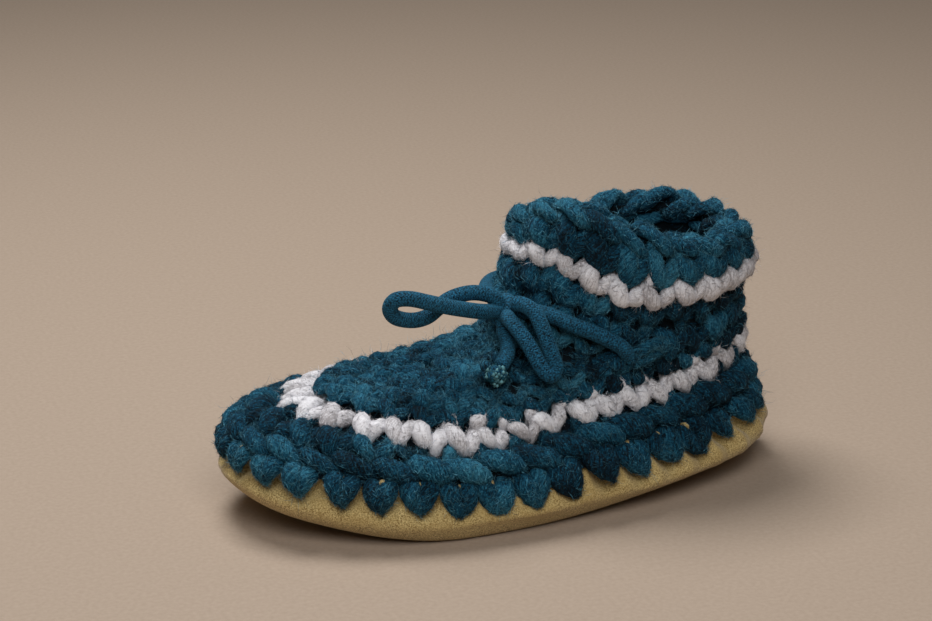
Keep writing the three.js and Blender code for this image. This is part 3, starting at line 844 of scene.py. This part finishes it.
# The chain edge lies along the top of the collar: each stitch has an outer and an inner leaf of yarn
CHAIN_LEGS = [
    [[-0.66, 0.46, -2.2, 0.9], [-0.46, 0.41, -0.6, 1.9], [-0.12, 0.30, 0.5, 2.5], [0.20, 0.17, 0.9, 2.6],
     [0.48, 0.05, 0.6, 2.1], [0.70, -0.03, -1.6, 1.0]],
    [[-0.78, 0.52, -1.0, 1.1], [-0.50, 0.56, 0.9, 2.0], [-0.16, 0.64, 1.4, 2.4], [0.20, 0.76, 1.4, 2.4],
     [0.52, 0.88, 0.7, 2.0], [0.78, 0.98, -1.6, 1.0]],
]
CHAIN_END = INSIDE_TOP + 0.12  # its inner edge, just inside the collar
chain = yarn_piece("chain_edge", TEAL, crochet(
    CHAIN_LEGS, ANKLE_STITCHES, 0.05, edge("chain_foot"), even(CHAIN_END), seed=27))

# Inside the collar the backs of the rounds show as rows of short bars
BAR_LEGS = [
    [[-0.52, 0.35, -3.4, 1.2], [-0.34, 0.42, -2.0, 2.2], [0.0, 0.5, -1.6, 2.6], [0.34, 0.58, -2.0, 2.2],
     [0.52, 0.65, -3.4, 1.2]],
]
INSIDE_EDGES = INSIDE_TOP + 0.06 + 0.62 * np.arange(6)
INSIDE_STITCHES = 20
yarn_piece("inside_rounds", TEAL, *[
    crochet(BAR_LEGS, INSIDE_STITCHES, 0.5 * (row % 2), even(INSIDE_EDGES[row]), even(INSIDE_EDGES[row + 1]),
            seed=30 + row)
    for row in range(len(INSIDE_EDGES) - 1)])


# Drawstring: one fine knitted cord, dark teal, threaded through the ankle and tied in a bow at the front.
# The near loop droops on the side, the other reaches out to the toe, and the near end has a knot in its tip.
CORD = 4.6
CORD_SIDES = 24
CORD_STEP = 0.4
END_KNOT_CORD = 3.2  # the cord is drawn thin in the end's knot
WRAP_STEPS = 24
KNIT_PITCH = 0.85
KNIT_COLUMNS = 12
KNIT_SLANT = 1.2
CORD_DEEP = (0, 10, 17)
CORD_PALE = (34, 104, 138)
CORD_BLOOM = (52, 104, 126)
CORD_SHEEN = (70, 130, 150)
TOE_LOOP = [
    [3.6, 11.0, 58.6], [6.0, 11.9, 58.9], [8.8, 13.0, 59.4], [12.4, 14.6, 60.4], [16.9, 15.7, 61.8],
    [22.7, 16.4, 63.6], [28.9, 16.4, 65.7], [34.2, 15.6, 67.2], [38.2, 14.4, 66.9], [39.5, 13.0, 64.0],
    [37.4, 12.0, 60.8], [32.2, 11.3, 59.0], [27.4, 10.6, 59.2], [23.9, 9.9, 61.0], [20.6, 9.2, 63.0],
    [16.8, 9.2, 64.2], [12.6, 9.6, 64.6], [8.8, 10.2, 63.9], [6.2, 10.5, 62.6], [4.2, 10.6, 60.4],
    [3.6, 10.6, 58.8],
]
SIDE_LOOP = [
    [2.4, 15.4, 61.8], [0.4, 18.0, 62.2], [-1.8, 21.4, 60.8], [-3.2, 24.4, 57.0], [-4.2, 26.6, 52.6],
    [-5.2, 28.2, 48.6], [-5.8, 29.2, 45.4], [-4.2, 29.8, 43.6], [-2.2, 28.6, 45.0], [-0.5, 26.4, 48.6],
    [1.0, 23.4, 52.4], [2.6, 19.8, 55.4], [3.6, 16.6, 57.2],
]
THROUGH_KNOT = [[3.6, 13.6, 57.4], [3.6, 11.8, 55.4]]
NEAR_END = [[4.0, 13.0, 52.8], [4.0, 14.8, 51.0], [4.3, 16.8, 49.2], [5.4, 18.8, 47.4], [7.2, 20.4, 46.0],
            [9.0, 21.6, 44.6]]
# share, level and height over the yarn crests: the runs lie on the ankle and go in at its sides
RUN_NEAR = [[0.08, 6.15, 2.8], [0.105, 6.1, 2.8], [0.134, 5.9, 2.8], [0.167, 5.6, 2.8], [0.2, 5.2, 2.4],
            [0.22, 4.95, 1.6], [0.236, 4.8, 0.2], [0.248, 4.7, -3.0]]
RUN_FAR = [[0.02, 6.15, 2.8], [-0.015, 6.15, 2.8], [-0.05, 6.15, 2.8], [-0.09, 6.1, 2.8], [-0.134, 5.9, 2.8],
           [-0.167, 5.6, 2.8], [-0.2, 5.2, 2.4], [-0.22, 4.95, 0.4], [-0.232, 4.8, -3.6]]
KNOT_CENTRE = np.array([3.2 + CENTRE_X, 10.4, 58.3])
END_KNOT_CENTRE = np.array([10.0 + CENTRE_X, 22.6, 43.0])


def even_path(points):
    """A smooth curve through the points, stepped evenly along its length, and that length."""
    table = np.array(points, dtype=float)
    fine = smooth_rows(table, np.linspace(0, len(table) - 1, 40 * len(table)))
    lengths = lengths_along(fine)
    places = np.linspace(0, lengths[-1], max(8, round(lengths[-1] / CORD_STEP)))
    return np.stack([np.interp(places, lengths, axis) for axis in fine.T], axis=1), lengths[-1]


def carried_frames(path):
    """Two directions across a path, carried along it with the least turning."""
    forward = unit(np.gradient(path, axis=0))
    side = np.zeros_like(path)
    across = np.cross(forward[0], [0.31, 0.22, 0.92])
    for i, direction in enumerate(forward):
        across = across - direction * np.dot(across, direction)
        across = across / np.linalg.norm(across)
        side[i] = across
    return side, np.cross(forward, side)


def knitted_tube(path, length, radius):
    """A knitted cord round a path: a round tube that closes at its ends.

    Returns its points and faces, and the loop and column of the knitting at each corner of its faces.
    """
    side, lift = carried_frames(path)
    turn = 2 * np.pi * np.arange(CORD_SIDES) / CORD_SIDES
    along = np.linspace(0, length, len(path))
    ends = np.minimum(along, length - along)
    swell = radius * np.sqrt(np.clip(ends / (0.5 * radius) + 0.15, 0.05, 1))[:, None]
    c, s = (swell * np.cos(turn))[..., None], (swell * np.sin(turn))[..., None]
    points, quads, triangles = closed_rows(path[:, None] + c * side[:, None] + s * lift[:, None])
    row, place = np.divmod(np.arange(len(quads)), CORD_SIDES)
    loop = along[np.stack([row, row, row + 1, row + 1], axis=1)] / KNIT_PITCH
    column = np.stack([place, place + 1, place + 1, place], axis=1) * KNIT_COLUMNS / CORD_SIDES
    corners_at = np.stack([loop.ravel(), column.ravel()], axis=1)
    return points, quads, triangles, np.concatenate([corners_at, np.zeros((triangles.size, 2))])


def cord_material():
    """Fine knitted wool cord: painted shade in the hollows between its loops, with a light bloom of fibre.

    The loops are a cosine of the place along the cord, slanted one way and the other by turns round it.
    """
    material, tree, shader = new_material("knitted_cord")
    corner = add_node(tree, "ShaderNodeUVMap", uv_map="corners").outputs["UV"]
    knit = add_node(tree, "ShaderNodeSeparateXYZ", Vector=corner).outputs
    column = math_node(tree, "PINGPONG", knit["Y"], 0.5)
    place = object_place(tree)
    uneven = noise(tree, place, scale=700, detail=2)
    phase = total(tree, (knit["X"], 1.0), (uneven, 1.0), (column, KNIT_SLANT))
    wave = math_node(tree, "COSINE", math_node(tree, "MULTIPLY", phase, 2 * math.pi))
    loops = span(tree, wave, -0.9, 1.0)
    lint = noise(tree, place, scale=1700, detail=3, roughness=0.65)
    dye = noise(tree, place, scale=90, detail=2)
    # The loops deepen the colour in their hollows: painted shade, over the lint's own light and deep fibres
    tone = total(tree, (loops, 0.24), (lint, 1.6))
    cord = mix_colours(tree, span(tree, tone, 0.66, 1.26), CORD_DEEP, CORD_PALE)
    bloom = mix_colours(tree, span(tree, dye, 0.4, 0.7, most=0.2), cord, CORD_BLOOM)
    set_node(tree, shader, Base_Color=bloom, Roughness=0.9, Specular_IOR_Level=0.2, Sheen_Weight=0.3,
             Sheen_Tint=CORD_SHEEN)
    bump(tree, shader, total(tree, (loops, 1.0), (lint, 1.0)), strength=0.5, distance=0.0003)
    return material


CORD_FINISH = cord_material()


def cord_tube(name, route, thickness, *nodes):
    """A piece of cord as a closed tube along a route, and its even path and length."""
    path, length = even_path(route)
    piece = make_mesh(name, *knitted_tube(path, length, 0.5 * thickness))
    return finish_piece(piece, CORD_FINISH, "cord", *nodes), path, length


def cord_piece(name, route, nodes):
    """A length of the drawstring, as a cord tube."""
    piece, path, length = cord_tube(name, route, CORD, *nodes)


def moved(points):
    """Route points of the tables, from the middle of the slipper's footprint."""
    return np.array(points) + np.array([CENTRE_X, 0, 0])


def run_points(rows):
    """Route points from a place on the wall in the table's last row back to the bow's knot."""
    share, level, height = np.array(rows[::-1]).T
    return np.concatenate([on_wall(share, level, height)[0], KNOT_CENTRE[None]])


def wrap_points(centre, axis, radii, turns, spread):
    """A turn of cord round an axis: an oval that climbs along the axis as it goes round."""
    axis = unit(np.array(axis, dtype=float))
    side = unit(np.cross(axis, [0.0, 0.0, 1.0]))
    lift = np.cross(side, axis)
    angle = np.linspace(0, 2 * np.pi * turns, WRAP_STEPS)[:, None]
    climb = np.linspace(-0.5, 0.5, WRAP_STEPS)[:, None] * spread
    return centre + radii[0] * np.cos(angle) * side + radii[1] * np.sin(angle) * lift + climb * axis


bow_wrap = wrap_points(KNOT_CENTRE, axis=[0.9, 0.35, 0.25], radii=[2.6, 2.9], turns=1.15, spread=3.0)
end_wrap = wrap_points(END_KNOT_CENTRE, axis=[0.5, 0.5, -0.7], radii=[1.5, 1.5], turns=1.3, spread=2.0)
knot, _, _ = cord_tube("bow_knot_wrap", bow_wrap, CORD, "bow_knot")
end_knot, _, _ = cord_tube("end_knot_wrap", end_wrap, END_KNOT_CORD, "bow_end_knot")
cord_piece("toe_loop_cord", moved(TOE_LOOP), ["bow_loop_toe"])
cord_piece("side_loop_cord", moved(SIDE_LOOP + THROUGH_KNOT + NEAR_END),
           ["bow_loop_side", "bow_end_knotted"])
cord_piece("near_run_cord", run_points(RUN_NEAR), ["drawstring_run_near"])
cord_piece("far_run_cord", run_points(RUN_FAR), ["drawstring_run_far"])

# The tip past the end's knot is frayed: a ball of burst loops
BEAD_CORNERS = np.array([[1, 0, 0], [0, 1, 0], [-1, 0, 0], [0, -1, 0], [0, 0, 1], [0, 0, -1]])
BEAD_FACES = [[0, 1, 4], [1, 2, 4], [2, 3, 4], [3, 0, 4], [1, 0, 5], [2, 1, 5], [3, 2, 5], [0, 3, 5]]


def hair_material(name, deep, pale):
    """Single wool fibres between two tones."""
    material, tree, shader = new_material(name)
    tint = add_node(tree, "ShaderNodeAttribute", attribute_name="tint").outputs["Fac"]
    tone = total(tree, (tint, 0.3), (noise(tree, object_place(tree), scale=75, detail=3), 1.0))
    colour = mix_colours(tree, span(tree, tone, 0.15, 0.9), deep, pale)
    set_node(tree, shader, Base_Color=colour, Roughness=0.8, Specular_IOR_Level=0.2)
    return material


def fuzz_piece(name, corners, faces, tints, material, slot="wool"):
    """The piece that holds many closed fibres, each with the same faces and a tint of its own."""
    count, size, _ = corners.shape
    triangles = (np.array(faces) + size * np.arange(count)[:, None, None]).reshape(-1, 3)
    piece = make_mesh(name, corners.reshape(-1, 3), (), triangles, tint=np.repeat(tints, size))
    finish_piece(piece, material, slot)


def frayed_loops(name, centre, reach, size, count, material, seed):
    """Small eight-sided beads over a ball: even steps of height, each turned on by the golden angle."""
    chance = np.random.default_rng(seed)
    step = np.arange(count)
    height = 1 - 2 * (step + 0.5) / count
    turn = step * math.pi * (3 - math.sqrt(5))
    level = np.sqrt(1 - height ** 2)
    way = np.stack([level * np.cos(turn), level * np.sin(turn), height], axis=1)
    middle = centre + way * chance.normal(reach, 0.25, (count, 1))
    corners = middle[:, None] + BEAD_CORNERS * chance.normal(size, 0.15 * size, (count, 6, 1))
    fuzz_piece(name, corners, BEAD_FACES, chance.normal(0.4, 1.0, count), material, "cord")


FRAYED = hair_material("frayed_cord", deep=(14, 66, 80), pale=(104, 156, 164))
frayed_loops("frayed_tip", END_KNOT_CENTRE, reach=2.7, size=0.72, count=110, material=FRAYED, seed=60)


# Fuzz: loose wool fibres that have worked out of the yarn. Most lie along it and stand off a little, and
# a few are long and bend over.
SHORT_HAIR = 0.07  # half thickness of the fibres
LONG_HAIR = 0.04
SHORT_FACES = [[0, 1, 2], [0, 3, 1], [0, 2, 3], [1, 3, 2]]
LONG_FACES = [[0, 2, 1], [0, 3, 2], [0, 1, 3], [1, 2, 4], [2, 3, 4], [3, 1, 4]]


def bare_places(batches, least, count, chance):
    """Places drawn from the yarn's skin where it faces out of the wall, with their directions and stitch
    tints: dye, and painted shade toward the heel.
    """
    keys = ("skin", "outward", "forward", "dye", "wall")
    *found, wall_normals = (np.concatenate([batch[key] for batch in batches]) for key in keys)
    bare = np.flatnonzero((found[1] * wall_normals).sum(axis=1) > least)
    chosen = bare[chance.integers(0, len(bare), count)]
    return [values[chosen] for values in found]


def short_fuzz(name, batches, count, longest, material, seed):
    """Straight fibres, thickest where they touch the yarn at their middle, with both ends free.

    Each lies flat to the skin, more along the yarn than across it, and tips up a little at one end.
    """
    chance = np.random.default_rng(seed)
    foot, out, along, dye = bare_places(batches, -0.1, count, chance)
    nudge = chance.normal(0, 0.3, (count, 3))
    way = 0.5 * along + chance.normal(0, 0.6, (count, 3))
    flat_nudge, flat_way = (part - out * (part * out).sum(axis=1, keepdims=True) for part in (nudge, way))
    lie = unit(unit(flat_way) + out * chance.normal(0.1, 0.3, (count, 1)))
    side = SHORT_HAIR * unit(np.cross(lie, out))
    waist = foot + flat_nudge
    middle = waist + SHORT_HAIR * out
    ahead, behind = longest * (0.3 + 0.7 * chance.random((2, count, 1)) ** 2)
    corners = np.stack([middle + ahead * lie, middle - behind * lie, waist + side, waist - side], axis=1)
    # The fibres take the stitch tints, with the painted shade toward the heel that these carry
    fuzz_piece(name, corners, SHORT_FACES, 0.8 * dye + chance.normal(0, 0.7, count), material)


def long_fuzz(name, batches, count, longest, material, seed):
    """Bent fibres with a three-sided waist. Each leaves the yarn outward and bends over half-way."""
    chance = np.random.default_rng(seed)
    foot, out, along, _ = bare_places(batches, 0.2, count, chance)
    length = longest * (0.2 + 0.8 * chance.random(count) ** 3)[:, None]
    rise = unit(out + 0.6 * along * chance.normal(0, 1, (count, 1)) + chance.normal(0, 0.5, (count, 3)))
    over = unit(rise + chance.normal(0, 0.6, (count, 3)))
    middle = foot + 0.5 * length * rise
    tip = middle + 0.5 * length * over
    side = unit(np.cross(rise, chance.normal(0, 1, (count, 3))))
    lift = np.cross(rise, side)
    turn = 2 * np.pi * np.arange(3)[:, None] / 3
    waist = middle[:, None] + LONG_HAIR * (side[:, None] * np.cos(turn) + lift[:, None] * np.sin(turn))
    corners = np.concatenate([foot[:, None], waist, tip[:, None]], axis=1)
    fuzz_piece(name, corners, LONG_FACES, chance.normal(0.3, 0.6, count), material)


TEAL_HAIR = hair_material("teal_hair", deep=(0, 34, 50), pale=(106, 176, 200))
WHITE_HAIR = hair_material("white_hair", deep=(214, 211, 214), pale=(248, 247, 252))
white_rounds = [white_round, white_band]
teal_rounds = [v_round, rope_round, instep, ankle, collar, chain]
short_fuzz("first_rounds_fuzz", [v_round, rope_round], count=40000, longest=2.8, material=TEAL_HAIR, seed=50)
short_fuzz("instep_fuzz", [instep], count=38000, longest=2.5, material=TEAL_HAIR, seed=51)
short_fuzz("ankle_fuzz", [ankle, collar, chain], count=40000, longest=2.6, material=TEAL_HAIR, seed=52)
short_fuzz("white_fuzz", white_rounds, count=16000, longest=2.5, material=WHITE_HAIR, seed=53)
long_fuzz("stray_fuzz", teal_rounds, count=10000, longest=6.0, material=TEAL_HAIR, seed=54)
long_fuzz("white_stray_fuzz", white_rounds, count=1800, longest=4.5, material=WHITE_HAIR, seed=55)


# Floor and light: a wide sheet of plain pale card. One soft studio light hangs above, a little to the far
# side, and a wider one above the near side.
FLOOR_HALF = 2500.0
CARD_DARK = (161, 143, 126)
CARD_LIGHT = (169, 151, 134)
LIGHT_AIM = Vector((0, 0, 0.03))
floor_corners = FLOOR_HALF * np.array([[-1, -1, 0], [1, -1, 0], [1, 1, 0], [-1, 1, 0]])
floor = make_mesh("floor", floor_corners, np.array([[0, 1, 2, 3]]), ())
card, card_tree, card_shader = new_material("pale_card")
card_grain = noise(card_tree, object_place(card_tree), scale=700, detail=3)
card_tone = mix_colours(card_tree, span(card_tree, card_grain, 0.3, 0.7), CARD_DARK, CARD_LIGHT)
set_node(card_tree, card_shader, Base_Color=card_tone, Roughness=0.9)
floor.data.materials.append(card)


def soft_light(name, place, size, power):
    """A square studio light that faces the slipper."""
    light = bpy.data.lights.new(name, "AREA")
    light.size = size
    light.energy = power
    lamp = bpy.data.objects.new(name, light)
    lamp.location = place
    lamp.rotation_euler = (LIGHT_AIM - Vector(place)).to_track_quat("-Z", "Y").to_euler()
    bpy.context.collection.objects.link(lamp)


soft_light("key_light", place=(0.10, -0.28, 0.82), size=0.38, power=6.6)
soft_light("front_light", place=(0.20, 0.64, 0.76), size=0.6, power=5.0)
world = bpy.data.worlds.new("studio")
world.use_nodes = True
set_node(world.node_tree, world.node_tree.nodes["Background"], Color=(236, 230, 224), Strength=0.09)
bpy.context.scene.world = world
bpy.context.scene.view_settings.view_transform = "Standard"


# Camera: at the photograph's angle, over the near side of the toe, looking down a little.
CAMERA_AZIMUTH = math.radians(159)
CAMERA_HEIGHT = math.radians(19)
CAMERA_DISTANCE = 0.760
LOOK_AT = Vector((0.0111, 0.0, 0.0558))
back = Vector((math.sin(CAMERA_AZIMUTH) * math.cos(CAMERA_HEIGHT),
               -math.cos(CAMERA_AZIMUTH) * math.cos(CAMERA_HEIGHT), math.sin(CAMERA_HEIGHT)))
camera_data = bpy.data.cameras.new("camera")
camera_data.sensor_width = 36.0
camera_data.lens = 98.64
camera_data.clip_start = 0.01
camera = bpy.data.objects.new("camera", camera_data)
camera.location = LOOK_AT + CAMERA_DISTANCE * back
camera.rotation_euler = back.to_track_quat("Z", "Y").to_euler()
bpy.context.collection.objects.link(camera)
bpy.context.scene.camera = camera
